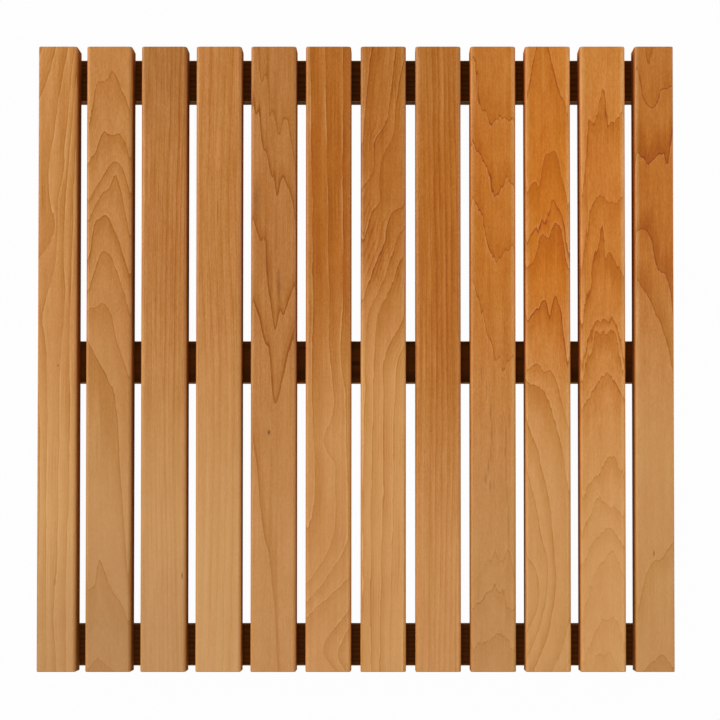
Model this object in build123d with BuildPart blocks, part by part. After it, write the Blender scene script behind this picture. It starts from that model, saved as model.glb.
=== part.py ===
"""Wooden floor grating: planed slats screwed from below onto three cross battens.

X runs across the slats, Y along them and Z up. The origin is on the floor, at the middle of the panel.
"""
import os
from math import radians, tan

from build123d import *

os.makedirs("parts", exist_ok=True)

# Slats of planed lath, millimetres
slat_count = 12
slat_width = 42.8
slat_thickness = 28.0
slat_length = 591.0
slat_gap = 9.0
slat_edge_radius = 3.0

# The two outermost slats, ripped narrower along their outer side
edge_slat_width = 36.5
ripped_edge_radius = 1.0

# Cross battens under the slats: one near each end and one at the middle
batten_width = 40.0
batten_thickness = 15.0
front_setback = 4.0  # from the front ends of the slats to the front batten
back_setback = 6.5  # from their back ends to the back batten
batten_edge_radius = 1.5

end_arris = 0.6  # chamfer left where a slat or batten was sawn to length

# Countersunk wood screws, one at each crossing, driven up through the batten
screw_diameter = 4.0
screw_head_diameter = 8.0
screw_head_angle = 90.0
screw_head_sink = 1.0  # from the underside of the batten up to the head
screw_cover = 7.0  # wood left between the tip and the tread
screw_tip_length = 5.0
screw_clearance = 0.05  # between the screw and the wood around it
pilot_end_room = 0.8  # pilot hole beyond the tip

# Cross recess in the screw head
recess_span = 4.6
recess_slot_width = 1.1
recess_depth = 1.8

# Places of the slats, from left to right
inner_pitch = slat_width + slat_gap
inner_count = slat_count - 2
edge_centre = (inner_count * inner_pitch + slat_gap + edge_slat_width) / 2
slat_centres = [(index - (inner_count - 1) / 2) * inner_pitch for index in range(inner_count)]
slat_centres = [-edge_centre] + slat_centres + [edge_centre]
panel_width = 2 * edge_centre + edge_slat_width

# Places of the battens, from the front of the panel to its back
front_centre = front_setback + (batten_width - slat_length) / 2
back_centre = (slat_length - batten_width) / 2 - back_setback
batten_centres = {"front": front_centre, "middle": (front_centre + back_centre) / 2, "back": back_centre}

# Heights that the battens, slats and screws share
slat_underside = batten_thickness
tread_height = batten_thickness + slat_thickness
screw_tip_height = tread_height - screw_cover
pilot_depth = screw_tip_height + pilot_end_room - slat_underside

# Screw holes: the countersink goes on from the seat of the head to the underside of the batten
screw_radius = screw_diameter / 2
screw_head_radius = screw_head_diameter / 2
screw_hole_radius = screw_radius + screw_clearance
head_slope = tan(radians(screw_head_angle / 2))
countersink_radius = screw_head_radius + screw_clearance + screw_head_sink * head_slope


def make_slat(centre, width, left_radius, right_radius):
    """A rounded section carried along the slat, with a blind pilot hole over each batten."""
    middle_height = slat_underside + slat_thickness / 2
    underside = Plane((centre, 0, slat_underside), x_dir=(-1, 0, 0), z_dir=(0, 0, -1))
    with BuildPart(underside) as slat:
        with BuildSketch(Plane((centre, 0, middle_height), x_dir=(1, 0, 0), z_dir=(0, -1, 0))) as section:
            Rectangle(width, slat_thickness)
            fillet(section.vertices().group_by(Axis.X)[0], left_radius)
            fillet(section.vertices().group_by(Axis.X)[-1], right_radius)
        extrude(amount=slat_length / 2, both=True)
        chamfer(slat.faces().filter_by(Axis.Y).edges(), end_arris)
        with Locations(*[(0, place) for place in batten_centres.values()]):
            Hole(screw_hole_radius, pilot_depth)
    return slat.part


def make_batten(centre):
    """A flat lath the width of the panel, countersunk from below under each slat."""
    middle_height = batten_thickness / 2
    underside = Plane((0, centre, 0), x_dir=(1, 0, 0), z_dir=(0, 0, -1))
    with BuildPart(underside) as batten:
        with BuildSketch(Plane((0, centre, middle_height), x_dir=(0, 1, 0), z_dir=(1, 0, 0))) as section:
            Rectangle(batten_width, batten_thickness)
            fillet(section.vertices(), batten_edge_radius)
        extrude(amount=panel_width / 2, both=True)
        chamfer(batten.faces().filter_by(Axis.X).edges(), end_arris)
        with Locations(*[(place, 0) for place in slat_centres]):
            CounterSinkHole(
                screw_hole_radius,
                countersink_radius,
                depth=batten_thickness,
                counter_sink_angle=screw_head_angle,
            )
    return batten.part


# One screw, head down, standing on the axis of its hole
neck_height = screw_head_sink + (screw_head_radius - screw_radius) / head_slope
with BuildPart() as screw:
    with BuildSketch(Plane.XZ):
        with BuildLine():
            Polyline(
                (0, screw_head_sink),
                (screw_head_radius, screw_head_sink),
                (screw_radius, neck_height),
                (screw_radius, screw_tip_height - screw_tip_length),
                (0, screw_tip_height),
                close=True,
            )
        make_face()
    revolve(axis=Axis.Z)
    with BuildSketch(Plane.XY.offset(screw_head_sink)):
        Rectangle(recess_span, recess_slot_width)
        Rectangle(recess_slot_width, recess_span)
    extrude(amount=recess_depth, mode=Mode.SUBTRACT)

# Slats, each a node of its own
for number, centre in enumerate(slat_centres, start=1):
    width = slat_width
    left_radius = slat_edge_radius
    right_radius = slat_edge_radius
    if number == 1:
        width = edge_slat_width
        left_radius = ripped_edge_radius
    if number == slat_count:
        width = edge_slat_width
        right_radius = ripped_edge_radius
    slat = make_slat(centre, width, left_radius, right_radius)
    slat.label = f"slat_{number:02d}"
    export_step(slat, f"parts/{slat.label}.step")

# Battens and the row of screws in each
for place, centre in batten_centres.items():
    batten = make_batten(centre)
    batten.label = f"batten_{place}"
    export_step(batten, f"parts/{batten.label}.step")

    with BuildPart() as screw_row:
        with Locations(*[(across, centre, 0) for across in slat_centres]):
            add(screw.part)
    screw_row.part.label = f"screws_{place}"
    export_step(screw_row.part, f"parts/{screw_row.part.label}.step")
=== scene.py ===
import math

import bpy
import numpy as np
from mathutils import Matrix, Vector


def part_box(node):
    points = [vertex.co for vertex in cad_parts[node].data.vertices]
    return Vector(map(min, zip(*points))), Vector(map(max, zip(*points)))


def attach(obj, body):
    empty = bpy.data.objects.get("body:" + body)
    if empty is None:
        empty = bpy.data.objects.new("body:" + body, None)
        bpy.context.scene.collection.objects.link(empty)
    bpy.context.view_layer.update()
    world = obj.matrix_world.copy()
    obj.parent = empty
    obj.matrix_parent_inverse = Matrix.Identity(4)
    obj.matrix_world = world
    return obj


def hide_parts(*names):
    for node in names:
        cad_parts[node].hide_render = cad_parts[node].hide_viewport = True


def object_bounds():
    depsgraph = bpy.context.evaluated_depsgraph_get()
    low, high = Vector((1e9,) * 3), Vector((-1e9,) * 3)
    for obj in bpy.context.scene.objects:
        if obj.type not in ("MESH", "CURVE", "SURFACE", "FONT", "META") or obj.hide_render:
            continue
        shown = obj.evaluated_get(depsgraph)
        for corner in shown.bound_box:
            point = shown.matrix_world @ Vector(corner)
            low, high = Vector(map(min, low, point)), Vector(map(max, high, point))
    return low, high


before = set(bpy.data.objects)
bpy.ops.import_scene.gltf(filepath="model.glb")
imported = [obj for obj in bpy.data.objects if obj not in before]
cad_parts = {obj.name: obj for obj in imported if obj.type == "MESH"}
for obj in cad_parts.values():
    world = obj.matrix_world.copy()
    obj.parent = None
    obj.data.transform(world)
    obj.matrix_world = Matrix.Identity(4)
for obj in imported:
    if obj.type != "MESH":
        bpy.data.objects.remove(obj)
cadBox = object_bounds()
scene = bpy.context.scene
mm = 0.001
print("frame loaded with", len(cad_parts), "nodes")


def toneOf(red, green, blue):
    # A colour written as 0 to 255 screen values, turned into the linear values that sockets take
    screen = np.array([red, green, blue]) / 255
    linear = np.where(screen <= 0.04045, screen / 12.92, ((screen + 0.055) / 1.055) ** 2.4)
    return (*linear.tolist(), 1.0)


# Small helpers for node trees

def addNode(tree, kind, sockets=None, **settings):
    node = tree.nodes.new(kind)
    for name, value in settings.items():
        setattr(node, name, value)
    for name, value in (sockets or {}).items():
        if isinstance(value, bpy.types.NodeSocket):
            tree.links.new(value, node.inputs[name])
        else:
            node.inputs[name].default_value = value
    return node


def calc(tree, operation, *values):
    node = addNode(tree, "ShaderNodeMath", dict(enumerate(values)), operation=operation)
    return node.outputs[0]


def remap(tree, value, low, high, toLow=0.0, toHigh=1.0):
    sockets = {"Value": value, "From Min": low, "From Max": high, "To Min": toLow, "To Max": toHigh}
    return addNode(tree, "ShaderNodeMapRange", sockets, interpolation_type="SMOOTHSTEP").outputs[0]


def mixTone(tree, amount, first, second, blend="MIX"):
    sockets = {0: amount, 6: first, 7: second}
    return addNode(tree, "ShaderNodeMix", sockets, data_type="RGBA", blend_type=blend).outputs[2]


seedSlide = (7.31, 3.77, 5.13)  # lumps that each step of a seed moves a noise pattern by


def grainNoise(tree, coords, size, seed, detail, roughness=0.5):
    # Noise whose lumps measure size, in metres along X, Y and Z; the seed slides the pattern
    slide = [seed * step for step in seedSlide]
    place = {"Vector": coords, "Scale": [1 / side for side in size], "Location": slide}
    mapped = addNode(tree, "ShaderNodeMapping", place).outputs[0]
    sockets = {"Vector": mapped, "Scale": 1.0, "Detail": detail, "Roughness": roughness}
    return addNode(tree, "ShaderNodeTexNoise", sockets).outputs["Fac"]


def newFinish(name):
    finish = bpy.data.materials.new(name)
    finish.use_nodes = True
    tree = finish.node_tree
    tree.nodes.clear()
    shader = addNode(tree, "ShaderNodeBsdfPrincipled")
    output = addNode(tree, "ShaderNodeOutputMaterial")
    tree.links.new(shader.outputs[0], output.inputs["Surface"])
    return finish, tree, shader


# Growth rings of each slat, in millimetres on its tread: across from the middle, along from the middle
# lines: (ring number, points on that ring's edge), each point (across, along), from the front end to the back
# upright: the same from left to right, each point (along, across); turn: where they take over from the others
# heart: (along, across) of the far-off middle of the tree, for straight grain; ringGap: width of its rings
# pale, shade: paleness and depth of tone from the back of the slat to its front, partly the wood's own and
# partly a painted sheen that pales the front
# fade: stretch of the last change of tone; foot: how much painted shade darkens the front end
# line, dense, fine, rim, fibre: strength of thin edges, dense sides, faint lines, pale rims and fibres
# front: strength that the rings keep where the wood is pale; edgeWidth, reach: width of edges and dense sides
# rings: {whole rings before a line: (strength of its dense side, of its thin edge)}
# flute, jag: waver of the rings, mm; seed: shifts all the noise
# (left, right) painted highlight on the long edges: how strongly each is painted pale
# knots: (across, along, half width, half length, depth of tone)
slatGrain = {
    "slat_01": {
        "upright": [
            (1, [(295, -3), (280, -7), (262, -12), (247, -17), (230, -22), (110, -30), (-295, -34)]),
            (2, [(295, 9), (260, 3), (216, -3), (180, -9), (160, -9), (150, -8), (138, -5), (125, -4),
                 (112, -6), (103, -10), (96, -16), (86, -21), (60, -19), (0, -19), (-60, -17),
                 (-295, -18)]),
            (3, [(295, 17), (260, 12), (208, 7), (171, 5), (149, 0), (120, -1), (84, -4), (66, -8),
                 (52, -12), (0, -11), (-100, -10), (-250, -9), (-295, -10)]),
            (4, [(295, 21), (230, 14), (150, 7), (79, 6), (64, 8), (47, 7), (0, 3), (-100, 2), (-205, 0),
                 (-225, -2), (-295, 1)]),
            (5, [(295, 27), (200, 17), (100, 14), (0, 12), (-150, 11), (-295, 9)]),
        ],
        "pale": (0.53, 0.57, 1.00), "shade": (0.92, 1.00), "foot": 0.12,
        "line": 0.12, "dense": 0.6, "front": 0.9,
        "fine": 0.3, "rim": 0.6, "fibre": 1.1, "flute": 3, "jag": 0.6, "seed": 1, "highlightShare": (0.0, 0.0),
        "knots": [(1, -7, 1.2, 1.8, 0.5), (-1, -211, 2.0, 5.0, 0.25)],
    },
    "slat_02": {
        "lines": [
            (-1, [(-21, -297), (-9, -283), (0, -290), (9, -296), (21, -310)]),
            (0, [(-21, -222), (-17, -218), (-12, -210), (-9, -189), (-5, -196), (-1, -209), (4, -219),
                 (9, -226), (14, -235), (21, -255)]),
            (1, [(-21, 18), (-12, 2), (-5, -11), (0, -22), (5, -34), (8, -58), (11, -105), (14, -153),
                 (17, -190), (21, -225)]),
            (2, [(-21, 42), (-18, 47), (-13, 48), (-9, 51), (-6, 53), (-3, 50), (2, 40), (6, 22), (12, 4),
                 (21, -25)]),
            (3, [(-21, 58), (-17, 70), (-13, 84), (-9, 97), (-5, 102), (0, 98), (5, 88), (9, 78), (15, 60),
                 (21, 30)]),
            (4, [(-21, 85), (-18, 100), (-14, 125), (-8, 133), (-3, 135), (0, 131), (5, 120), (11, 106),
                 (21, 70)]),
            (5, [(-21, 125), (-12, 146), (-6, 156), (0, 161), (3, 167), (6, 173), (8, 166), (12, 152),
                 (21, 105)]),
            (6, [(-21, 142), (-13, 160), (-6, 171), (0, 181), (6, 185), (12, 178), (17, 163), (21, 145)]),
            (7, [(-21, 172), (-18, 186), (-12, 197), (-9, 207), (-5, 215), (-1, 212), (3, 210), (10, 211),
                 (14, 204), (21, 180)]),
            (8, [(-21, 205), (-16, 236), (-13, 256), (-7, 261), (-2, 264), (3, 271), (7, 265), (12, 254),
                 (21, 228)]),
        ],
        "pale": (0.47, 0.50, 0.88), "shade": (0.87, 0.87), "foot": 0.085,
        "line": 0.35, "dense": 0.8,
        "fine": 0.2, "rim": 0.2, "fibre": 0.4, "flute": 2, "jag": 0.5, "seed": 2, "highlightShare": (0.12, 0.0),
        "reach": 60.0,
    },
    "slat_03": {
        "heart": [(-295, 112), (0, 108), (295, 114)], "ringGap": 4.2,
        "pale": (0.34, 0.37, 0.93), "shade": (0.71, 0.81, 0.94), "foot": 0.08,
        "line": 0.1, "dense": 0.4,
        "fine": 0.0, "rim": 0.0, "fibre": 1.5, "flute": 2, "jag": 0.4, "seed": 3, "highlightShare": (0.15, 0.0),
        "knots": [(18, -205, 0.8, 5.0, 0.9)],
    },
    "slat_04": {
        "heart": [(-295, -84), (0, -80), (150, -86), (295, -82)], "ringGap": 6.5,
        "pale": (0.42, 0.42, 0.94), "shade": (0.875, 0.97),
        "line": 0.1, "dense": 0.35,
        "fine": 0.0, "rim": 0.0, "fibre": 1.4, "flute": 2, "jag": 0.4, "seed": 4, "highlightShare": (0.12, 0.08),
        "knots": [(-1, 139, 0.9, 18, 0.45)],
    },
    "slat_05": {
        "lines": [
            (5, [(-21, -60), (-18, -84), (-15, -107), (-12, -139), (-8, -168), (-3, -192), (-1, -215),
                 (2, -243), (4, -290), (10, -340), (21, -420)]),
            (4, [(-21, 60), (-14, 40), (-8, 15), (-3, 2), (0, -36), (1, -41), (4, -38), (9, -16), (13, 1),
                 (16, 11), (21, 30)]),
            (3, [(-21, 140), (-18, 128), (-14, 116), (-12, 111), (-9, 113), (-7, 105), (-6, 80), (-3, 55),
                 (-1, 38), (1, 27), (4, 34), (6, 45), (9, 40), (14, 52), (21, 75)]),
            (2, [(-21, 262), (-19, 244), (-17, 232), (-13, 228), (-12, 214), (-10, 200), (-7, 195),
                 (-4, 182), (-2, 173), (1, 170), (3, 155), (6, 166), (9, 172), (12, 165), (15, 159),
                 (18, 148), (21, 135)]),
            (1, [(-21, 320), (-15, 294), (-14.2, 275), (-13.4, 267), (-12, 261), (-10, 263), (-8, 267),
                 (-6.2, 262), (-5.4, 250), (-4.8, 234), (-4, 229), (-1, 233), (1, 226), (3, 215), (5, 210),
                 (7, 213), (9.5, 224), (11.3, 226), (13.4, 223), (15, 213), (17, 201), (21, 185)]),
        ],
        "pale": (0.37, 0.33, 0.66), "shade": (0.78, 0.91),
        "line": 0.45, "dense": 0.5, "front": 0.9,
        "rings": {4: (1.7, 0.4)},
        "fine": 0.1, "rim": 0.1, "fibre": 0.9, "flute": 1, "jag": 0.3, "seed": 5, "highlightShare": (0.12, 0.08),
        "edgeWidth": 2.2, "reach": 12.0,
        "knots": [(-4, -70, 2.0, 3.5, 0.8), (5, 70, 3.5, 20, 0.3), (-16, 150, 4.0, 25, 0.3)],
    },
    "slat_06": {
        "upright": [
            (3, [(295, -17), (100, -15), (-60, -14), (-100, -12), (-150, -16), (-175, -24), (-295, -60)]),
            (2, [(295, -3), (200, -2), (110, 0), (0, 1), (-61, 2), (-69, -2), (-83, -3), (-89, 0), (-98, 6),
                 (-120, 7), (-158, 6), (-184, -1), (-207, -15), (-220, -24), (-295, -56)]),
            (1, [(295, 14), (150, 14), (40, 13), (8, 11), (-39, 16), (-80, 17), (-140, 18), (-177, 16),
                 (-200, 3), (-219, -10), (-233, -22), (-295, -52)]),
            (0, [(295, 27), (-150, 26), (-190, 22), (-207, 18), (-225, 0), (-241, -17), (-250, -24),
                 (-295, -48)]),
            (-1, [(295, 34), (-215, 27), (-240, 18), (-255, 6), (-268, -3), (-280, -3), (-290, 4),
                  (-300, 12)]),
            (-2, [(295, 42), (-245, 27), (-265, 14), (-280, 9), (-300, 20)]),
        ],
        "fade": (110, -90), "pale": (0.12, 0.05, 0.66), "shade": (0.81, 0.98),
        "line": 0.15, "dense": 0.6, "front": 0.85,
        "fine": 0.3, "rim": 0.5, "fibre": 1.1, "flute": 2, "jag": 0.6, "seed": 6, "highlightShare": (0.2, 0.1),
    },
    "slat_07": {
        "upright": [
            (7, [(295, -10), (254, -16), (200, -19), (150, -24), (-295, -40)]),
            (6, [(300, 13), (262, 9), (235, 5), (216, -1), (208, -7), (195, -8), (177, -9), (162, -18),
                 (150, -24), (-295, -38)]),
            (5, [(285, 21), (265, 16), (239, 12), (209, 8), (198, 3), (186, -1), (164, -3), (146, -4),
                 (140, -9), (122, -15), (104, -21), (-295, -36)]),
            (4, [(150, 23), (143, 18), (140, 12), (130, 6), (109, 2), (91, -6), (75, -12), (52, -20),
                 (-295, -34)]),
            (3, [(126, 21), (118, 16), (106, 11), (90, 6), (74, 1), (62, -5), (50, -11), (20, -16),
                 (-20, -17), (-120, -18), (-295, -19)]),
            (2, [(102, 21), (92, 16), (76, 10), (58, 3), (44, -4), (20, -8), (-20, -9), (-100, -10),
                 (-200, -12), (-295, -11)]),
            (1, [(42, 21), (32, 17), (20, 10), (8, 4), (-39, 1), (-100, 1), (-180, -1), (-295, -3)]),
            (0, [(20, 25), (0, 15), (-40, 11), (-100, 10), (-200, 8), (-295, 7)]),
        ],
        "fade": (160, -70), "pale": (0.22, 0.15, 0.80), "shade": (0.82, 1.04),
        "line": 0.25, "dense": 0.65, "front": 0.75,
        "fine": 0.7, "rim": 0.25, "fibre": 1.0, "flute": 2, "jag": 0.8, "seed": 7, "highlightShare": (0.3, 0.2),
    },
    "slat_08": {
        "heart": [(-295, 128), (0, 132), (295, 127)], "ringGap": 5.0,
        "fade": (85, -220), "pale": (0.20, 0.06, 0.64), "shade": (0.81, 0.985),
        "line": 0.1, "dense": 0.45,
        "fine": 0.0, "rim": 0.0, "fibre": 1.2, "flute": 2, "jag": 0.4, "seed": 8, "highlightShare": (0.2, 0.15),
        "knots": [(-7, -69, 0.8, 1.0, 0.7)],
    },
    "slat_09": {
        "lines": [
            (2, [(-21, -277), (-15, -270), (-5, -268), (0, -262), (5, -261), (11, -264), (15, -269),
                 (21, -278)]),
            (3, [(-21, -238), (-15, -233), (-9, -229), (-5, -222), (0, -217), (1.5, -213), (5.5, -221),
                 (9.5, -219), (11, -230), (16, -237), (21, -241)]),
            (4, [(-21, -213), (-13, -206), (-8, -198), (-4, -191), (0, -190), (1.5, -183), (4, -189),
                 (8, -192), (11, -189), (14, -182), (17, -195), (21, -208)]),
            (4.45, [(-21, -60), (-8, -95), (4, -110), (12, -95), (21, -60)]),
            (4, [(-21, 85), (-16, 67), (-7, 28), (0, 11), (3, -2), (6, 1), (10, -11), (13, -4), (18, 2),
                 (21, 8)]),
            (3, [(-21, 158), (-16, 148), (-8, 128), (-3, 108), (4, 91), (9, 100), (15, 103), (21, 112)]),
            (2, [(-21, 212), (-15, 198), (-8, 186), (-4, 180), (2, 154), (7, 160), (13, 171), (18, 166),
                 (21, 172)]),
            (1, [(-21, 290), (-16, 275), (-13, 244), (-6, 231), (0, 221), (4, 225), (10, 227), (14, 225),
                 (21, 232)]),
        ],
        "pale": (0.15, 0.06, 0.70), "shade": (0.935, 0.90),
        "line": 0.5, "dense": 0.5,
        "rings": {3: (0.45, 0.75)},
        "fine": 0.1, "rim": 0.2, "fibre": 0.7, "flute": 2, "jag": 1.6, "seed": 9, "highlightShare": (0.28, 0.3),
        "knots": [(-11.3, -13, 1.2, 11, 0.22), (-6.2, -30, 1.2, 13, 0.28), (-2.3, -50, 1.2, 14, 0.3),
                  (-1.2, -72, 1.2, 18, 0.3), (-2.4, -90, 1.2, 12, 0.22), (-4.6, -102, 1.5, 10, 0.28),
                  (-7.2, -114, 2.2, 8, 0.28), (-2.8, -121, 1.5, 8, 0.28), (0.8, -119, 1.2, 7, 0.2),
                  (15.5, -57, 1.2, 14, 0.22), (12.3, -75, 1.2, 14, 0.25), (11.4, -89, 1.3, 8, 0.3),
                  (12.2, -108, 1.2, 17, 0.2), (13.2, -128, 1.2, 14, 0.2), (14.2, -156, 1.2, 24, 0.18)],
    },
    "slat_10": {
        "lines": [
            (1, [(-21, -62), (-15, -74), (-10, -87), (-6, -105), (0, -132), (21, -220)]),
            (2, [(-21, -21), (-17, -24), (-9, -27), (-2, -35), (5, -54), (11, -79), (18, -105),
                 (21, -140)]),
            (3, [(-21, -14), (-15, -8), (-9, -6), (-4, -14), (2, -12), (6, -18), (12, -40), (17, -62),
                 (21, -90)]),
            (4, [(-21, 32), (-17, 38), (-13, 45), (-10, 47), (-8.5, 46), (-7, 51), (-4.5, 54), (-1.5, 52),
                 (0, 45), (1.6, 37), (3.4, 45), (5.2, 53), (7.2, 59), (9.4, 53), (12, 46), (14, 28),
                 (17, 3), (21, -15)]),
            (5, [(-21, 82), (-16.5, 89), (-13, 93), (-10.4, 101), (-8.6, 111), (-6.2, 117), (-2.6, 116),
                 (0.7, 114), (2.8, 120), (4.6, 125), (7, 128), (11, 125), (13.5, 118), (15.4, 108),
                 (17.2, 94), (21, 80)]),
            (6, [(-21, 104), (-17, 114), (-13, 120), (-10.5, 123), (-9, 119), (-7.4, 125), (-5.6, 132),
                 (-4, 128), (-2, 128), (-0.2, 140), (0.8, 135), (3, 146), (5.4, 150), (7.6, 146),
                 (10.6, 140), (13.6, 133), (16, 121), (18, 106), (21, 90)]),
            (7, [(-21, 146), (-18, 158), (-14, 165), (-11.5, 166), (-8.6, 160), (-6.8, 165), (-5.6, 174),
                 (-2.6, 190), (1, 194), (4.6, 196), (7.6, 194), (10, 186), (12.4, 173), (15.4, 162),
                 (18, 149), (21, 128)]),
            (8, [(-21, 240), (-18, 256), (-10, 295), (-5, 315), (0, 297), (5, 276), (9, 259), (16, 240),
                 (21, 220)]),
        ],
        "upright": [
            (-1, [(0, -40), (-150, -28), (-185, -22), (-200, -11), (-216, -9), (-237, -11), (-262, -22),
                  (-300, -34)]),
            (0, [(0, -34), (-90, -25), (-121, -16), (-143, -11), (-172, -6), (-187, -2), (-211, -1),
                 (-235, -4), (-254, -9), (-277, -18), (-300, -30)]),
            (1, [(0, -30), (-40, -24), (-74, -15), (-87, -10), (-105, -6), (-132, 0), (-164, 4), (-187, 6),
                 (-211, 7), (-229, 5), (-246, 2), (-264, -2), (-293, -14)]),
            (2, [(0, -12), (-35, -2), (-58, 6), (-89, 13), (-119, 18), (-200, 22), (-246, 20), (-278, 11),
                 (-295, 3)]),
        ],
        "turn": (-30, -110),
        "fade": (90, -130), "pale": (0.13, 0.00, 0.80), "shade": (1.02, 1.01),
        "line": 0.5, "dense": 0.65, "front": 0.45,
        "rings": {6: (0.8, 0.3), 5: (0.8, 1.4), 4: (1.3, 0.7), 3: (0.8, 1.2),
                  2: (0.6, 0.5), 1: (1.2, 0.7), 0: (1.5, 1.0)},
        "fine": 0.2, "rim": 0.2, "fibre": 0.6, "flute": 1, "jag": 0.6, "seed": 10, "highlightShare": (0.3, 0.4),
    },
    "slat_11": {
        "lines": [
            (-1, [(-21, -330), (-12, -296), (-7, -279), (-3, -276), (1, -281), (5, -277), (9, -283),
                  (14, -290), (21, -310)]),
            (0, [(-21, -300), (-14, -275), (-9, -262), (-4, -250), (0, -246), (5, -247), (11, -246),
                 (15, -255), (21, -275)]),
            (1, [(-21, -255), (-16, -233), (-9, -208), (-4, -198), (1, -190), (5, -186), (9, -183),
                 (13, -190), (21, -215)]),
            (2, [(-21, -205), (-14, -185), (-9, -172), (-4, -168), (1, -164), (5, -160), (10, -165),
                 (15, -172), (21, -185)]),
            (3, [(-21, -175), (-15, -156), (-10, -143), (-3, -132), (1, -137), (5, -140), (12, -141),
                 (21, -150)]),
            (4, [(-21, -140), (-15, -124), (-9, -115), (-3, -108), (3, -99), (8, -93), (13, -99),
                 (17, -106), (21, -120)]),
            (5, [(-21, -55), (-15, -40), (-11, -33), (-7, -28), (-2, -20), (3, -15), (8, -20), (12, -27),
                 (21, -44)]),
            (6, [(-21, -26), (-14, 0), (-10, 15), (-7, 25), (-4, 22), (-1, 25), (4, 22), (8, 25), (11, 21),
                 (14, 7), (21, -26)]),
            (7, [(-21, -14), (-16, 6), (-12, 22), (-8, 31), (-5, 34), (-2, 32), (1, 36), (5, 33), (8, 37),
                 (10.5, 32), (14.5, 22), (18.5, 2), (21, -14)]),
            (8, [(-21, 25), (-16, 46), (-11, 75), (-7, 96), (-3, 106), (0, 117), (1, 104), (3, 95), (5, 99),
                 (10, 92), (15, 84), (21, 70)]),
            (9, [(-21, 60), (-17, 93), (-13, 128), (-8, 145), (-4, 151), (-1, 153), (4, 150), (8, 147),
                 (12, 146), (21, 155)]),
            (10, [(-21, 130), (-16, 171), (-13, 210), (-7, 223), (-4, 232), (-1, 248), (0, 254), (2, 246),
                  (4, 228), (9, 222), (14, 225), (21, 235)]),
        ],
        "pale": (0.26, 0.12, 0.82), "shade": (1.00, 1.04),
        "line": 0.4, "dense": 0.7, "front": 0.4,
        "rings": {7: (1.6, 1.2), 5: (1.2, 0.9)},
        "fine": 0.15, "rim": 0.2, "fibre": 0.6, "flute": 2, "jag": 1.6, "seed": 11, "highlightShare": (0.3, 0.4),
    },
    "slat_12": {
        "lines": [
            (4, [(-18, -310), (-10, -295), (0, -284), (6, -278), (12, -284), (18, -292)]),
            (5, [(-18, -262), (-13, -228), (-8, -206), (-1, -193), (6, -190), (12, -181), (18, -172)]),
            (5.5, [(-18, -60), (0, -90), (18, -110)]),
            (5, [(-18, 78), (-14, 71), (-5, 58), (2, 42), (7, 31), (13, 10), (18, -20)]),
            (4, [(-18, 119), (-14, 121), (-9, 121), (-3, 113), (0, 100), (3, 87), (8, 81), (12, 78),
                 (16, 62), (18, 43)]),
            (3, [(-18, 196), (-15, 193), (-10, 187), (-6, 183), (0, 189), (6, 193), (9, 193), (13, 185),
                 (15, 198), (18, 217)]),
            (2, [(-18, 285), (-13, 266), (-10, 247), (-6, 240), (-2, 237), (3, 243), (6, 252), (12, 255),
                 (18, 257)]),
            (1, [(-18, 310), (-10, 300), (-7, 288), (-5, 279), (-2, 290), (2, 300), (18, 320)]),
        ],
        "fade": (140, -110), "pale": (0.16, 0.03, 0.80), "shade": (0.82, 0.92),
        "line": 0.4, "dense": 0.8,
        "rings": {1: (0.3, 1.3)},
        "fine": 0.0, "rim": 0.1, "fibre": 0.7, "flute": 2, "jag": 0.8, "seed": 12, "highlightShare": (0.42, 0.0),
        "knots": [(-1, -184, 1.2, 4.0, 0.6)],
    },
}
figure = {
    "heartDepth": 20.0,   # of the far-off heart below the tread, mm
    "ringDepth": 6.0,     # mm of wood to a ring, going down from the tread
    "edgeStep": 400.0,    # mm to the next ring beyond the first and last drawn lines
    "sideStep": 12.0,     # the same for upright lines
    "leastGap": 0.01,     # mm left between neighbouring lines where they would cross
    "probe": 0.5,         # mm either way, to measure the spacing of the rings
    "paceRange": (0.004, 0.4),  # least and most rings to the millimetre
    "highlightWidth": 4.8,      # mm from a long edge over which the painted highlight lies
    "highlightSoft": 1.2,       # mm over which that fades into the tread
    "highlightDepth": 1.6,      # mm below the tread where it ends
    "highlightFade": (60, -100),     # stretch, mm, over which the painted highlight leaves the left edge towards the front
    "backFade": (285, 170),    # stretch, mm, over which the tone of the back end gives way to the next
    "frontFade": (110, -200),  # and that to the tone of the front, unless the slat has its own
    "footFade": (-150, -250),  # and over which the painted shade of a darker front end sets in
}


def throughPoints(points, at):
    # A smooth curve through given points: a cubic between neighbours, with slopes taken across them
    place, value = np.array(sorted(points), float).T
    slope = np.gradient(value, place)
    left = np.clip(np.searchsorted(place, at) - 1, 0, len(place) - 2)
    span = place[left + 1] - place[left]
    t = np.clip((at - place[left]) / span, 0, 1)
    bend = (1 + 2 * t) * (1 - t) ** 2 * value[left] + t * t * (3 - 2 * t) * value[left + 1]
    return bend + span * (t * (1 - t) ** 2 * slope[left] - t * t * (1 - t) * slope[left + 1])


def betweenLines(lines, along, at, step):
    # Ring number between drawn lines: that of the line before, and the share of the way on to the next one
    number = np.array([line[0] for line in lines], float)
    place = np.stack([throughPoints(line[1], along) for line in lines])
    place = np.maximum.accumulate(place, axis=0) + np.arange(len(lines))[:, None] * figure["leastGap"]
    firstStep = np.sign(number[1] - number[0])
    lastStep = np.sign(number[-1] - number[-2])
    value = number[0] + firstStep * (at - place[0]) / step
    for k in range(len(lines) - 1):
        share = (at - place[k]) / (place[k + 1] - place[k])
        value = np.where(share >= 0, number[k] + np.clip(share, 0, 1) * (number[k + 1] - number[k]), value)
    return np.where(at > place[-1], number[-1] + lastStep * (at - place[-1]) / step, value)


def upShare(grain, along):
    # Share of the upright lines: all where there are no others, else growing over the turn
    if "turn" not in grain:
        return float("upright" in grain)
    start, stop = grain["turn"]
    return np.clip((along - start) / (stop - start), 0, 1)


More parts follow.
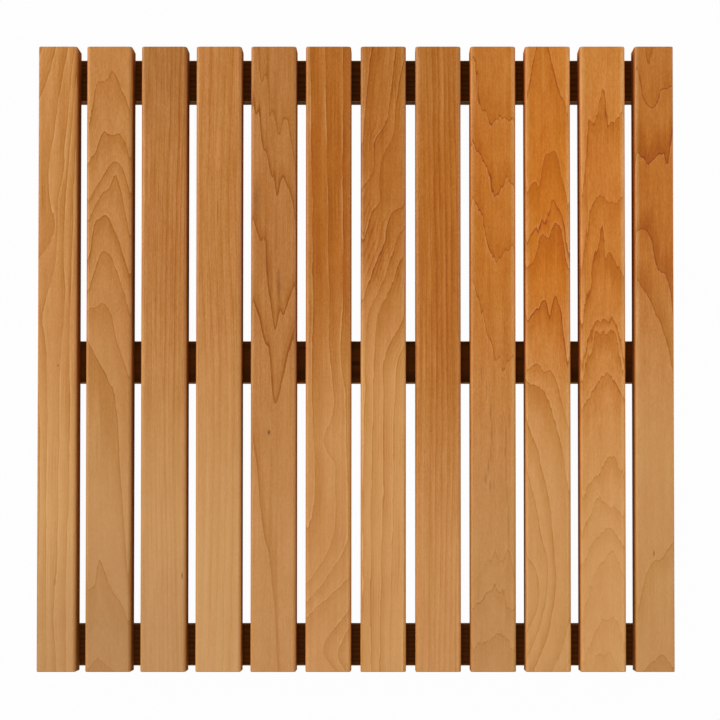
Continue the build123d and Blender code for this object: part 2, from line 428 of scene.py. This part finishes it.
def ringField(grain, across, along, below):
    # Straight grain: distance from the far-off heart over the ring width
    # Else the number between the drawn lines, less a ring for each ring's worth of wood below the tread
    if "heart" in grain:
        away = np.hypot(across - throughPoints(grain["heart"], along), figure["heartDepth"] - below)
        return away / grain["ringGap"]
    number = -below / figure["ringDepth"]
    if "lines" in grain:
        drawn = betweenLines(grain["lines"], across, along, figure["edgeStep"])
        number = number + drawn * (1 - upShare(grain, along))
    if "upright" in grain:
        drawn = betweenLines(grain["upright"], along, across, figure["sideStep"])
        number = number + drawn * upShare(grain, along)
    return number


def ringPace(grain, across, along, below):
    # Rings for each millimetre over the tread, from the ring numbers a short way off in both directions
    probe = figure["probe"]
    right, left = (ringField(grain, across + step, along, below) for step in (probe, -probe))
    back, front = (ringField(grain, across, along + step, below) for step in (probe, -probe))
    return np.clip(np.hypot(right - left, back - front) / (2 * probe), *figure["paceRange"])


def alongSteps(values, grain, along):
    # From the value at the back of the slat to those further forward, by a smooth step over each stretch,
    # less an even slope of painted shade over a darker front end
    stretches = (figure["backFade"], grain.get("fade", figure["frontFade"]))[-len(values) + 1:]
    result = np.full(len(along), float(values[0]))
    for (start, stop), before, after in zip(stretches, values, values[1:]):
        share = np.clip((start - along) / (start - stop), 0, 1)
        result += (after - before) * share * share * (3 - 2 * share)
    start, stop = figure["footFade"]
    return result - grain.get("foot", 0) * np.clip((start - along) / (start - stop), 0, 1)


def edgeHighlight(amounts, across, along, half, below):
    # Painted highlight: full at each long edge, fading out towards the middle of the tread and down the side;
    # left also forwards
    inner = figure["highlightWidth"] - half
    left, right = (np.clip((inner - side * across) / figure["highlightSoft"], 0, 1) for side in (1, -1))
    start, stop = figure["highlightFade"]
    left = left * np.clip((along - stop) / (start - stop), 0, 1)
    return (amounts[0] * left + amounts[1] * right) * np.clip(figure["highlightDepth"] - below, 0, 1)


# Slats: a rounded section carried along the slat, closed at both ends
slatForm = {
    "roundOver": 3.0 * mm,      # eased long edges
    "rippedRound": 1.0 * mm,    # outer sides of the two outermost slats
    "endArris": 0.6 * mm,       # sawn ends
    "arcSteps": 8,
    "flatSteps": (8, 34, 8, 8),  # right side, tread, left side, underside
    "rows": 241,
    "capRings": 4,
    "bakeSide": 312 * mm,       # side of the square that the surface is laid out on
    "bakeGap": 3 * mm,
}


def slatSection(width, thickness, leftRound, rightRound):
    # Four quarter circles joined by straight stretches, anticlockwise from the lower right, seen along +Y
    corners = ((1, -1, rightRound, -90), (1, 1, rightRound, 0),
               (-1, 1, leftRound, 90), (-1, -1, leftRound, 180))
    arcs = []
    for sideways, upward, radius, start in corners:
        turn = np.radians(start + np.linspace(0, 90, slatForm["arcSteps"] + 1))
        normal = np.stack([np.cos(turn), np.sin(turn)], 1)
        middle = np.array([sideways * (width / 2 - radius), upward * (thickness / 2 - radius)])
        arcs.append((middle + radius * normal, normal))
    points, normals = [], []
    for number, (arc, normal) in enumerate(arcs):
        after = arcs[(number + 1) % 4][0]
        share = np.linspace(0, 1, slatForm["flatSteps"][number] + 1)[1:-1, None]
        points += [arc, arc[-1] + (after[0] - arc[-1]) * share]
        normals += [normal, np.repeat(normal[-1:], len(share), 0)]
    return np.concatenate(points), np.concatenate(normals)


def slatSurface(name, grain, leftRound, rightRound):
    # The section is carried along Y as rings; at each end it shrinks over the arris, then to the cap's middle
    low, high = (np.array(corner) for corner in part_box(name))
    width, length, thickness = high - low
    middle = (low + high) / 2
    section, outward = slatSection(width, thickness, leftRound, rightRound)
    arris, rows, caps = slatForm["endArris"], slatForm["rows"], slatForm["capRings"]
    grow = np.arange(1, caps + 1) / caps
    inset = 1 - 2 * arris / np.array([width, thickness])
    body = np.linspace(-length / 2 + arris, length / 2 - arris, rows)
    along = np.concatenate([np.full(caps, -length / 2), body, np.full(caps, length / 2)])
    size = np.concatenate([grow[:, None] * inset, np.ones((rows, 2)), grow[::-1, None] * inset])
    rings, count = len(along), len(section)
    grid = np.empty((rings, count, 3))
    grid[..., 0] = middle[0] + size[:, :1] * section[:, 0]
    grid[..., 1] = along[:, None]
    grid[..., 2] = middle[2] + size[:, 1:] * section[:, 1]
    ends = np.array([[middle[0], -length / 2, middle[2]], [middle[0], length / 2, middle[2]]])
    points = np.concatenate([grid.reshape(-1, 3), ends])

    # Quads between neighbouring rings, and a fan of triangles at the middle of each cap
    ring, place = np.meshgrid(np.arange(rings - 1), np.arange(count), indexing="ij")
    after = (place + 1) % count
    quads = np.stack([ring * count + place, (ring + 1) * count + place, (ring + 1) * count + after,
                      ring * count + after], -1).reshape(-1, 4)
    step, nextStep = np.arange(count), (np.arange(count) + 1) % count
    lastRing = (rings - 1) * count
    front = np.stack([np.full(count, rings * count), step, nextStep], 1)
    back = np.stack([np.full(count, rings * count + 1), lastRing + nextStep, lastRing + step], 1)
    mesh = bpy.data.meshes.new(name + "_wood")
    mesh.from_pydata(points.tolist(), [], quads.tolist() + front.tolist() + back.tolist())

    # Normals: those of the section along the slat, half turned on the arris, straight out on the caps
    lean = np.concatenate([np.full(caps - 1, -2), [-1], np.zeros(rows - 1), [1], np.full(caps - 1, 2)])
    corner = np.stack([outward, outward, np.roll(outward, -1, 0), np.roll(outward, -1, 0)], 1)
    facing = np.zeros((rings - 1, count, 4, 3))
    facing[..., [0, 2]] = corner * (np.abs(lean) < 2)[:, None, None, None]
    facing[..., 1] = np.sign(lean)[:, None, None]
    facing /= np.linalg.norm(facing, axis=-1, keepdims=True)
    capFacing = np.repeat([[0, -1, 0], [0, 1, 0]], 3 * count, 0)
    mesh.shade_smooth()
    mesh.normals_split_custom_set(np.concatenate([facing.reshape(-1, 3), capFacing]).tolist())

    # Flat layout: the two halves of the skin side by side, the caps in the strip that is left
    edge = np.linalg.norm(np.roll(section, -1, 0) - section, axis=1)
    girth = np.concatenate([[0], np.cumsum(edge)])
    gap = slatForm["bakeGap"]
    half = (np.arange(rings - 1) >= (rings - 1) // 2).astype(float)
    skin = np.empty((rings - 1, count, 4, 2))
    startGirth = np.stack([girth[:-1], girth[:-1], girth[1:], girth[1:]], -1)
    skin[..., 0] = startGirth + (gap + half * (girth[-1] + gap))[:, None, None]
    reach = np.stack([along[:-1], along[1:], along[1:], along[:-1]], -1)
    skin[..., 1] = (reach + gap + (1 - half)[:, None] * length / 2)[:, None, :]
    flat = points[:, [2, 0]] - (middle[[2, 0]] - np.array([thickness, width]) / 2)
    column = np.array([3 * gap + 2 * girth[-1], gap])
    onCap = np.abs(lean) == 2
    quadPoints = quads.reshape(rings - 1, count, 4)
    lift = (half[onCap] * (width + gap))[:, None, None, None] * [0, 1]
    skin[onCap] = flat[quadPoints[onCap]] + column + lift
    frontFlat = flat[front] + column
    backFlat = flat[back] + column + np.array([0, width + gap])
    layout = np.concatenate([skin.reshape(-1, 2), frontFlat.reshape(-1, 2), backFlat.reshape(-1, 2)])
    layer = mesh.uv_layers.new(name="OFBake")
    layer.data.foreach_set("uv", (layout / slatForm["bakeSide"]).ravel().astype(np.float32))

    # Where each point lies in the log that the slat was sawn from
    across = (points[:, 0] - middle[0]) / mm
    down = (high[2] - points[:, 2]) / mm
    lengthwise = points[:, 1] / mm
    fields = {
        "ring": ringField(grain, across, lengthwise, down),
        "pace": ringPace(grain, across, lengthwise, down),
        # Tone along the slat: partly the wood's own, partly a painted sheen towards the front and painted
        # shade at a darker front end
        "pale": alongSteps(grain["pale"], grain, lengthwise),
        "shade": alongSteps(grain["shade"], grain, lengthwise),
        # painted highlight on the long edges
        "paintedHighlight": edgeHighlight(grain["highlightShare"], across, lengthwise, width / mm / 2, down),
    }
    for label, value in fields.items():
        layer = mesh.attributes.new(label, "FLOAT", "POINT")
        layer.data.foreach_set("value", value.astype(np.float32))
    return mesh


# Finish of the slats: oiled wood tones, ring edges, fibres and pores
slatTones = {
    "warm": toneOf(197, 114, 24),
    # the pale tone is partly the wood's own and partly a painted sheen
    "pale": toneOf(211.5, 157, 96),
    # rim tone: pale rims of the rings, and also the painted highlight on the long edges
    "rim": toneOf(222, 168, 104),
    "knot": toneOf(130, 100, 70),       # the tone is multiplied by these two
    # side: a painted warm shade on the steep sides
    "side": toneOf(256, 236, 195),
}
slatWood = {
    "edgeWidth": 1.5,      # mm, thin line at a ring's outer edge, unless the slat has its own
    "edgeLeast": 0.55,     # strength of that line where it is faintest
    "denseReach": 24.0,    # mm, fading inwards from that line, unless the slat has its own
    "denseShare": 0.75,    # or this share of the ring, where rings are close
    "drawnLeast": 0.5,     # strength of the faintest ring where rings are drawn
    "straightLeast": 0.1,  # and where the grain is straight
    "fineCount": 4.0,      # faint lines to a ring
    "rimWidth": 2.6,       # mm, pale band outside the edge
    "denseDepth": 0.095,   # share of full white that each pattern takes from red, green and blue alike
    "edgeDepth": 0.18,
    "fineDepth": 0.08,
    "streakDepth": 0.225,
    "inkTone": (0.96, 1.08, 1.3),
    "darkest": 0.02,       # the patterns leave at least this on the screen scale
    "screenPower": 2.2,
    "back": 1.25,          # strength of rings and fibres where the wood is warm
    "front": 0.62,         # of rings where it is pale, unless the slat has its own
    "fibreFront": 0.45,    # and of fibres there
    "hueSpread": 0.008,
    "rough": 0.32,
    "fibreRough": 0.16,    # added on the fibres
    "sideRough": 0.45,     # added on the sides
    "specular": 0.25,
    "bump": 0.25,
    "bumpDepth": 0.0002,
}
# Noise on the slats: size of a lump along X, Y and Z in metres, step of the seed, detail, roughness
slatNoise = {
    "flute": ((0.016, 0.16, 0.016), 0, 1.0, 0.5),     # broad waver of the rings
    "jag": ((0.005, 0.05, 0.005), 40, 2.0, 0.5),      # their small points
    "fade": ((0.02, 0.06, 0.02), 60, 1.0, 0.5),       # where edges and faint lines come and go
    "fibre": ((0.0013, 0.10, 0.0013), 80, 3.0, 0.6),
    "strand": ((0.0007, 0.008, 0.0007), 90, 2.0, 0.6),
    "pores": ((0.0005, 0.006, 0.0005), 100, 1.0, 0.5),
    "speckle": ((0.0012, 0.0026, 0.0012), 110, 1.0, 0.5),
    "mottle": ((0.008, 0.03, 0.02), 120, 3.0, 0.5),
    "band": ((0.006, 0.30, 0.02), 130, 2.0, 0.5),
    "blush": ((0.014, 0.08, 0.02), 140, 1.0, 0.5),    # slow change of hue
}
slatStreaks = {"fibre": 0.38, "pores": -0.12, "strand": 0.34, "speckle": 0.30, "band": 0.34, "mottle": 0.28}


def slatFinish(name, grain, middle):
    finish, tree, shader = newFinish(name)
    seed = grain["seed"]
    coords = addNode(tree, "ShaderNodeTexCoord").outputs["Object"]
    labels = ("ring", "pace", "pale", "shade", "paintedHighlight")
    ring, pace, pale, shade, paintedHighlight = (
        addNode(tree, "ShaderNodeAttribute", attribute_name=label).outputs["Fac"] for label in labels)
    noise = {label: grainNoise(tree, coords, size, seed + step, detail, roughness)
             for label, (size, step, detail, roughness) in slatNoise.items()}
    fade, fibre = noise["fade"], noise["fibre"]

    # Rings waver: millimetres of broad flutes and small pointed jags, turned into rings by their spacing
    flute, jag = grain["flute"], grain["jag"]
    tooth = calc(tree, "ABSOLUTE", calc(tree, "SUBTRACT", noise["jag"], 0.5))
    waver = calc(tree, "MULTIPLY_ADD", noise["flute"], flute * 2, -flute)
    waver = calc(tree, "ADD", waver, calc(tree, "MULTIPLY_ADD", tooth, jag * 8, -jag))
    number = calc(tree, "MULTIPLY_ADD", waver, pace, ring)

    # Each ring grows denser outwards, by a chance of its own, ends in a thin edge and starts pale again
    share = calc(tree, "FRACT", number)
    whole = calc(tree, "FLOOR", number)
    draw = {"W": calc(tree, "ADD", whole, seed * 31.0)}
    chance = addNode(tree, "ShaderNodeTexWhiteNoise", draw, noise_dimensions="1D").outputs["Value"]
    inside = calc(tree, "DIVIDE", calc(tree, "SUBTRACT", 1.0, share), pace)
    denseReach = grain.get("reach", slatWood["denseReach"])
    reach = calc(tree, "MINIMUM", denseReach, calc(tree, "DIVIDE", slatWood["denseShare"], pace))
    dense = remap(tree, calc(tree, "DIVIDE", inside, reach), 1.0, 0.0)
    least = slatWood["straightLeast" if "heart" in grain else "drawnLeast"]
    dense = calc(tree, "MULTIPLY", dense, remap(tree, chance, 0.0, 1.0, least, 1.0))
    edgeWidth = grain.get("edgeWidth", slatWood["edgeWidth"])
    edge = remap(tree, inside, edgeWidth, edgeWidth * 0.3)
    edge = calc(tree, "MULTIPLY", edge, remap(tree, fade, 0.3, 0.65, slatWood["edgeLeast"], 1.0))
    for before, (filled, crisp) in grain.get("rings", {}).items():
        chosen = calc(tree, "COMPARE", whole, before, 0.1)
        dense = calc(tree, "MULTIPLY", dense, calc(tree, "MULTIPLY_ADD", chosen, filled - 1, 1.0))
        edge = calc(tree, "MULTIPLY", edge, calc(tree, "MULTIPLY_ADD", chosen, crisp - 1, 1.0))

    # Faint lines between the edges of the rings
    count = slatWood["fineCount"]
    part = calc(tree, "SUBTRACT", 1.0, calc(tree, "FRACT", calc(tree, "MULTIPLY", number, count)))
    part = calc(tree, "DIVIDE", part, calc(tree, "MULTIPLY", pace, count))
    fine = remap(tree, part, edgeWidth * 1.5, 0.0)
    fine = calc(tree, "MULTIPLY", fine, remap(tree, fade, 0.35, 0.7))

    # A pale rim on the outer side of each edge
    rim = remap(tree, calc(tree, "DIVIDE", share, pace), slatWood["rimWidth"], 0.0)
    rim = calc(tree, "MULTIPLY", rim, remap(tree, fade, 0.3, 0.65))

    # Plain tone of the wood: warm to pale, partly a painted sheen towards the front, then rims, a painted
    # highlight on the long edges, and knots
    tone = mixTone(tree, pale, slatTones["warm"], slatTones["pale"])
    tone = mixTone(tree, calc(tree, "MULTIPLY", rim, grain["rim"]), tone, slatTones["rim"])
    tone = mixTone(tree, paintedHighlight, tone, slatTones["rim"])
    for across, along, wide, long, depth in grain.get("knots", []):
        scale = (1 / (wide * mm), 1 / (long * mm), 0)
        centre = (-(middle + across * mm) * scale[0], -along * mm * scale[1], 0)
        place = {"Vector": coords, "Scale": scale, "Location": centre}
        away = addNode(tree, "ShaderNodeMapping", place).outputs[0]
        away = addNode(tree, "ShaderNodeVectorMath", {0: away}, operation="LENGTH").outputs["Value"]
        tone = mixTone(tree, remap(tree, away, 1.0, 0.2, 0.0, depth), tone, slatTones["knot"], "MULTIPLY")
    spread = slatWood["hueSpread"]
    hue = calc(tree, "MULTIPLY_ADD", noise["blush"], spread, 0.5 - spread / 2)
    tone = addNode(tree, "ShaderNodeHueSaturation", {"Hue": hue, "Value": shade, "Color": tone}).outputs[0]

    # Fibres, pores and slow changes of tone
    pores = remap(tree, noise["pores"], 0.58, 0.75)
    swell = remap(tree, fade, 0.25, 0.75, 0.4, 1.6)
    swell = calc(tree, "MULTIPLY", swell, slatStreaks["fibre"] * grain["fibre"])
    streak = calc(tree, "MULTIPLY", calc(tree, "SUBTRACT", fibre, 0.5), swell)
    streak = calc(tree, "MULTIPLY_ADD", pores, slatStreaks["pores"], streak)
    for label in ("strand", "speckle", "band", "mottle"):
        amount = slatStreaks[label] * (grain["fibre"] if label == "band" else 1)
        streak = calc(tree, "ADD", streak, calc(tree, "MULTIPLY_ADD", noise[label], amount, -amount / 2))

    # Contrast falls off where the wood is pale, as under the painted sheen, that of the fibres and of the
    # rings each in its own way
    contrast = remap(tree, pale, 0.2, 1.0, slatWood["back"], slatWood["fibreFront"])
    drawn = remap(tree, pale, 0.2, 0.9, slatWood["back"], grain.get("front", slatWood["front"]))

    # The patterns are taken off on the screen scale, where they change red, green and blue alike
    patterns = ((dense, "dense", "denseDepth"), (edge, "line", "edgeDepth"), (fine, "fine", "fineDepth"))
    ink = 0.0
    for pattern, strength, depth in patterns:
        ink = calc(tree, "MULTIPLY_ADD", pattern, -grain[strength] * slatWood[depth], ink)
    streak = calc(tree, "MULTIPLY", calc(tree, "MULTIPLY", streak, slatWood["streakDepth"]), contrast)
    ink = calc(tree, "MULTIPLY_ADD", ink, drawn, streak)
    power = slatWood["screenPower"]
    screen = addNode(tree, "ShaderNodeGamma", {"Color": tone, "Gamma": 1 / power}).outputs[0]
    sockets = {0: ink, 1: slatWood["inkTone"], 2: screen}
    screen = addNode(tree, "ShaderNodeVectorMath", sockets, operation="MULTIPLY_ADD").outputs[0]
    sockets = {0: screen, 1: [slatWood["darkest"]] * 3}
    screen = addNode(tree, "ShaderNodeVectorMath", sockets, operation="MAXIMUM").outputs[0]
    tone = addNode(tree, "ShaderNodeGamma", {"Color": screen, "Gamma": power}).outputs[0]

    # The steep sides are rougher than the tread, and warmer in tone: a painted warm shade, as of the gaps
    # between the slats
    normal = addNode(tree, "ShaderNodeTexCoord").outputs["Normal"]
    facing = addNode(tree, "ShaderNodeSeparateXYZ", {0: normal}).outputs["Z"]
    tone = mixTone(tree, remap(tree, facing, 0.85, 0.2), tone, slatTones["side"], "MULTIPLY")
    tree.links.new(tone, shader.inputs["Base Color"])
    rough = calc(tree, "MULTIPLY_ADD", fibre, slatWood["fibreRough"], slatWood["rough"])
    rough = calc(tree, "ADD", rough, remap(tree, facing, 0.6, 0.1, 0.0, slatWood["sideRough"]))
    tree.links.new(rough, shader.inputs["Roughness"])
    shader.inputs["Specular IOR Level"].default_value = slatWood["specular"]
    height = calc(tree, "SUBTRACT", fibre, pores)
    sockets = {"Strength": slatWood["bump"], "Distance": slatWood["bumpDepth"], "Height": height}
    bump = addNode(tree, "ShaderNodeBump", sockets)
    tree.links.new(bump.outputs[0], shader.inputs["Normal"])
    return finish


for name, grain in slatGrain.items():
    leftRound = slatForm["rippedRound" if name == "slat_01" else "roundOver"]
    rightRound = slatForm["rippedRound" if name == "slat_12" else "roundOver"]
    mesh = slatSurface(name, grain, leftRound, rightRound)
    slat = bpy.data.objects.new(name + "_wood", mesh)
    scene.collection.objects.link(slat)
    left, right = (corner[0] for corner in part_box(name))
    mesh.materials.append(slatFinish(name + "_oiled", grain, (left + right) / 2))
    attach(slat, "root")
    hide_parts(name)
print("slats made:", len(slatGrain))


# Cross battens: wood with its grain along X, darker partly in its own tone and partly as painted shade from
# lying under the slats
battenWood = {
    "warm": toneOf(108, 56, 8),
    "late": toneOf(58, 29, 4),
    "side": toneOf(196, 140, 84),   # the front and back sides, paler as painted light
    "ringGap": 0.0047,
    "heartDepth": 0.06,
    "flute": (0.25, 0.016, 0.016),      # size of the rings' waver and of the fibres, metres
    "fibre": (0.08, 0.0012, 0.0012),
    "waver": 2.4,                       # rings
    "lateShare": 0.6,                   # strength of the late wood
    "bump": 0.3,
    "bumpDepth": 0.0002,
}


def battenFinish(name, seed):
    finish, tree, shader = newFinish(name)
    coords = addNode(tree, "ShaderNodeTexCoord").outputs["Object"]
    gap = battenWood["ringGap"]
    heart = (0, 0, battenWood["heartDepth"] / gap)
    place = {"Vector": coords, "Scale": (0, 1 / gap, 1 / gap), "Location": heart}
    away = addNode(tree, "ShaderNodeMapping", place).outputs[0]
    ring = addNode(tree, "ShaderNodeVectorMath", {0: away}, operation="LENGTH").outputs["Value"]
    flute = grainNoise(tree, coords, battenWood["flute"], seed, 2.0)
    share = calc(tree, "FRACT", calc(tree, "MULTIPLY_ADD", flute, battenWood["waver"], ring))
    late = calc(tree, "MULTIPLY", remap(tree, share, 0.2, 0.95), remap(tree, share, 0.95, 1.0, 1.0, 0.0))
    fibre = grainNoise(tree, coords, battenWood["fibre"], seed + 20, 3.0, 0.6)
    late = calc(tree, "MULTIPLY", late, battenWood["lateShare"])
    tone = mixTone(tree, late, battenWood["warm"], battenWood["late"])
    value = calc(tree, "MULTIPLY_ADD", fibre, 0.9, 0.55)
    tone = addNode(tree, "ShaderNodeHueSaturation", {"Value": value, "Color": tone}).outputs[0]
    normal = addNode(tree, "ShaderNodeTexCoord").outputs["Normal"]
    facing = calc(tree, "ABSOLUTE", addNode(tree, "ShaderNodeSeparateXYZ", {0: normal}).outputs["Y"])
    # Painted light: the front and back sides paler
    tone = mixTone(tree, remap(tree, facing, 0.3, 0.8), tone, battenWood["side"])
    tree.links.new(tone, shader.inputs["Base Color"])
    tree.links.new(calc(tree, "MULTIPLY_ADD", fibre, 0.2, 0.5), shader.inputs["Roughness"])
    shader.inputs["Specular IOR Level"].default_value = 0.05
    sockets = {"Strength": battenWood["bump"], "Distance": battenWood["bumpDepth"], "Height": fibre}
    bump = addNode(tree, "ShaderNodeBump", sockets)
    tree.links.new(bump.outputs[0], shader.inputs["Normal"])
    return finish


# Screws: plain stainless steel, brushed round by the turning
screwSteel = {
    "tone": toneOf(196, 197, 200),
    "worn": toneOf(150, 150, 152),
    "scuff": (0.0012, 0.0012, 0.0004),  # size of the worn flecks, metres
    "bump": 0.15,
    "bumpDepth": 0.00005,
}


def screwFinish(name):
    finish, tree, shader = newFinish(name)
    coords = addNode(tree, "ShaderNodeTexCoord").outputs["Object"]
    scuff = grainNoise(tree, coords, screwSteel["scuff"], 3, 3.0, 0.6)
    tree.links.new(mixTone(tree, scuff, screwSteel["worn"], screwSteel["tone"]), shader.inputs["Base Color"])
    tree.links.new(calc(tree, "MULTIPLY_ADD", scuff, 0.25, 0.2), shader.inputs["Roughness"])
    shader.inputs["Metallic"].default_value = 1.0
    sockets = {"Strength": screwSteel["bump"], "Distance": screwSteel["bumpDepth"], "Height": scuff}
    bump = addNode(tree, "ShaderNodeBump", sockets)
    tree.links.new(bump.outputs[0], shader.inputs["Normal"])
    return finish


def dressNode(name, finish):
    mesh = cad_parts[name].data
    mesh.materials.clear()
    mesh.materials.append(finish)


steel = screwFinish("screw_steel_turned")
for seed, place in enumerate(("front", "middle", "back"), start=1):
    dressNode("batten_" + place, battenFinish("batten_" + place + "_wood", seed))
    dressNode("screws_" + place, steel)
print("battens and screws dressed")


# Floor and surroundings: white to the camera and to reflections, with the shadow left faint on the floor
studio = {"floorSize": 8.0, "floorTone": 0.4, "floorGlow": 0.98, "floorMirrored": 0.1, "ambient": 0.14}


def seenDirectly(tree, mirrored):
    # 1 for camera and transmission rays, the given amount for glossy rays, 0 for the rest
    path = addNode(tree, "ShaderNodeLightPath").outputs
    glossy = calc(tree, "MULTIPLY", path["Is Glossy Ray"], mirrored)
    seen = calc(tree, "MAXIMUM", path["Is Camera Ray"], glossy)
    return calc(tree, "MAXIMUM", seen, path["Is Transmission Ray"])


def makeFloor():
    # One square, level with the underside of the object
    half = studio["floorSize"] / 2
    mesh = bpy.data.meshes.new("floor")
    corners = np.array([[-half, -half, 0], [half, -half, 0], [half, half, 0], [-half, half, 0]])
    mesh.from_pydata(corners.tolist(), [], [(0, 1, 2, 3)])
    floor = bpy.data.objects.new("floor", mesh)
    scene.collection.objects.link(floor)
    finish = bpy.data.materials.new("floor_white")
    finish.use_nodes = True
    tree = finish.node_tree
    tree.nodes.clear()
    matt = addNode(tree, "ShaderNodeBsdfDiffuse", {"Color": (*[studio["floorTone"]] * 3, 1)})
    glow = addNode(tree, "ShaderNodeEmission", {"Color": (1, 1, 1, 1), "Strength": 1.0})
    amount = calc(tree, "MULTIPLY", seenDirectly(tree, studio["floorMirrored"]), studio["floorGlow"])
    mixed = addNode(tree, "ShaderNodeMixShader", {0: amount, 1: matt.outputs[0], 2: glow.outputs[0]})
    output = addNode(tree, "ShaderNodeOutputMaterial")
    tree.links.new(mixed.outputs[0], output.inputs["Surface"])
    mesh.materials.append(finish)


def makeWorld():
    world = bpy.data.worlds.new("studio")
    world.use_nodes = True
    scene.world = world
    tree = world.node_tree
    tree.nodes.clear()
    strength = remap(tree, seenDirectly(tree, 1.0), 0, 1, studio["ambient"], 1.0)
    back = addNode(tree, "ShaderNodeBackground", {"Color": (1, 1, 1, 1), "Strength": strength})
    output = addNode(tree, "ShaderNodeOutputWorld")
    tree.links.new(back.outputs[0], output.inputs["Surface"])


# Soft boxes: place, size and power of each, all turned to the middle of the panel
softBoxes = {
    "left": {"place": (-2.0, 0.5, 1.5), "size": (1.0, 1.8), "power": 27},
    "edge": {"place": (-1.6, 1.2, 0.6), "size": (0.6, 0.8), "power": 20},
    "right": {"place": (0.95, 0.3, 0.5), "size": (0.3, 1.0), "power": 5},
    "lower": {"place": (-0.2, -1.0, 2.6), "size": (1.4, 1.0), "power": 22.5},
}


def makeLights():
    for name, box in softBoxes.items():
        lamp = bpy.data.lights.new(name + "_box", "AREA")
        lamp.shape = "RECTANGLE"
        lamp.size, lamp.size_y = box["size"]
        lamp.energy = box["power"]
        holder = bpy.data.objects.new(name + "_box", lamp)
        scene.collection.objects.link(holder)
        away = np.array(box["place"])
        holder.location = box["place"]
        flatAway = math.hypot(away[0], away[1])
        holder.rotation_euler = (math.atan2(flatAway, away[2]), 0, math.atan2(away[0], -away[1]))


makeFloor()
makeWorld()
makeLights()
print("studio set")


# Camera: above the front half of the panel, tilted a little and shifted to keep the slats upright
cameraRig = {
    "height": 1.82,             # above the tread
    "foot": (0.0332, -0.16),
    "tilt": 1.25,               # degrees from straight down
    "lens": 96.65,
    "shift": (-0.043, 0.1745),
}


def makeCamera():
    data = bpy.data.cameras.new("camera")
    data.lens = cameraRig["lens"]
    data.shift_x, data.shift_y = cameraRig["shift"]
    data.dof.use_dof = False
    camera = bpy.data.objects.new("camera", data)
    camera.location = (*cameraRig["foot"], cadBox[1][2] + cameraRig["height"])
    camera.rotation_euler = (math.radians(cameraRig["tilt"]), 0, 0)
    scene.collection.objects.link(camera)
    scene.camera = camera


makeCamera()
scene.view_settings.view_transform = "Standard"
print("camera set")
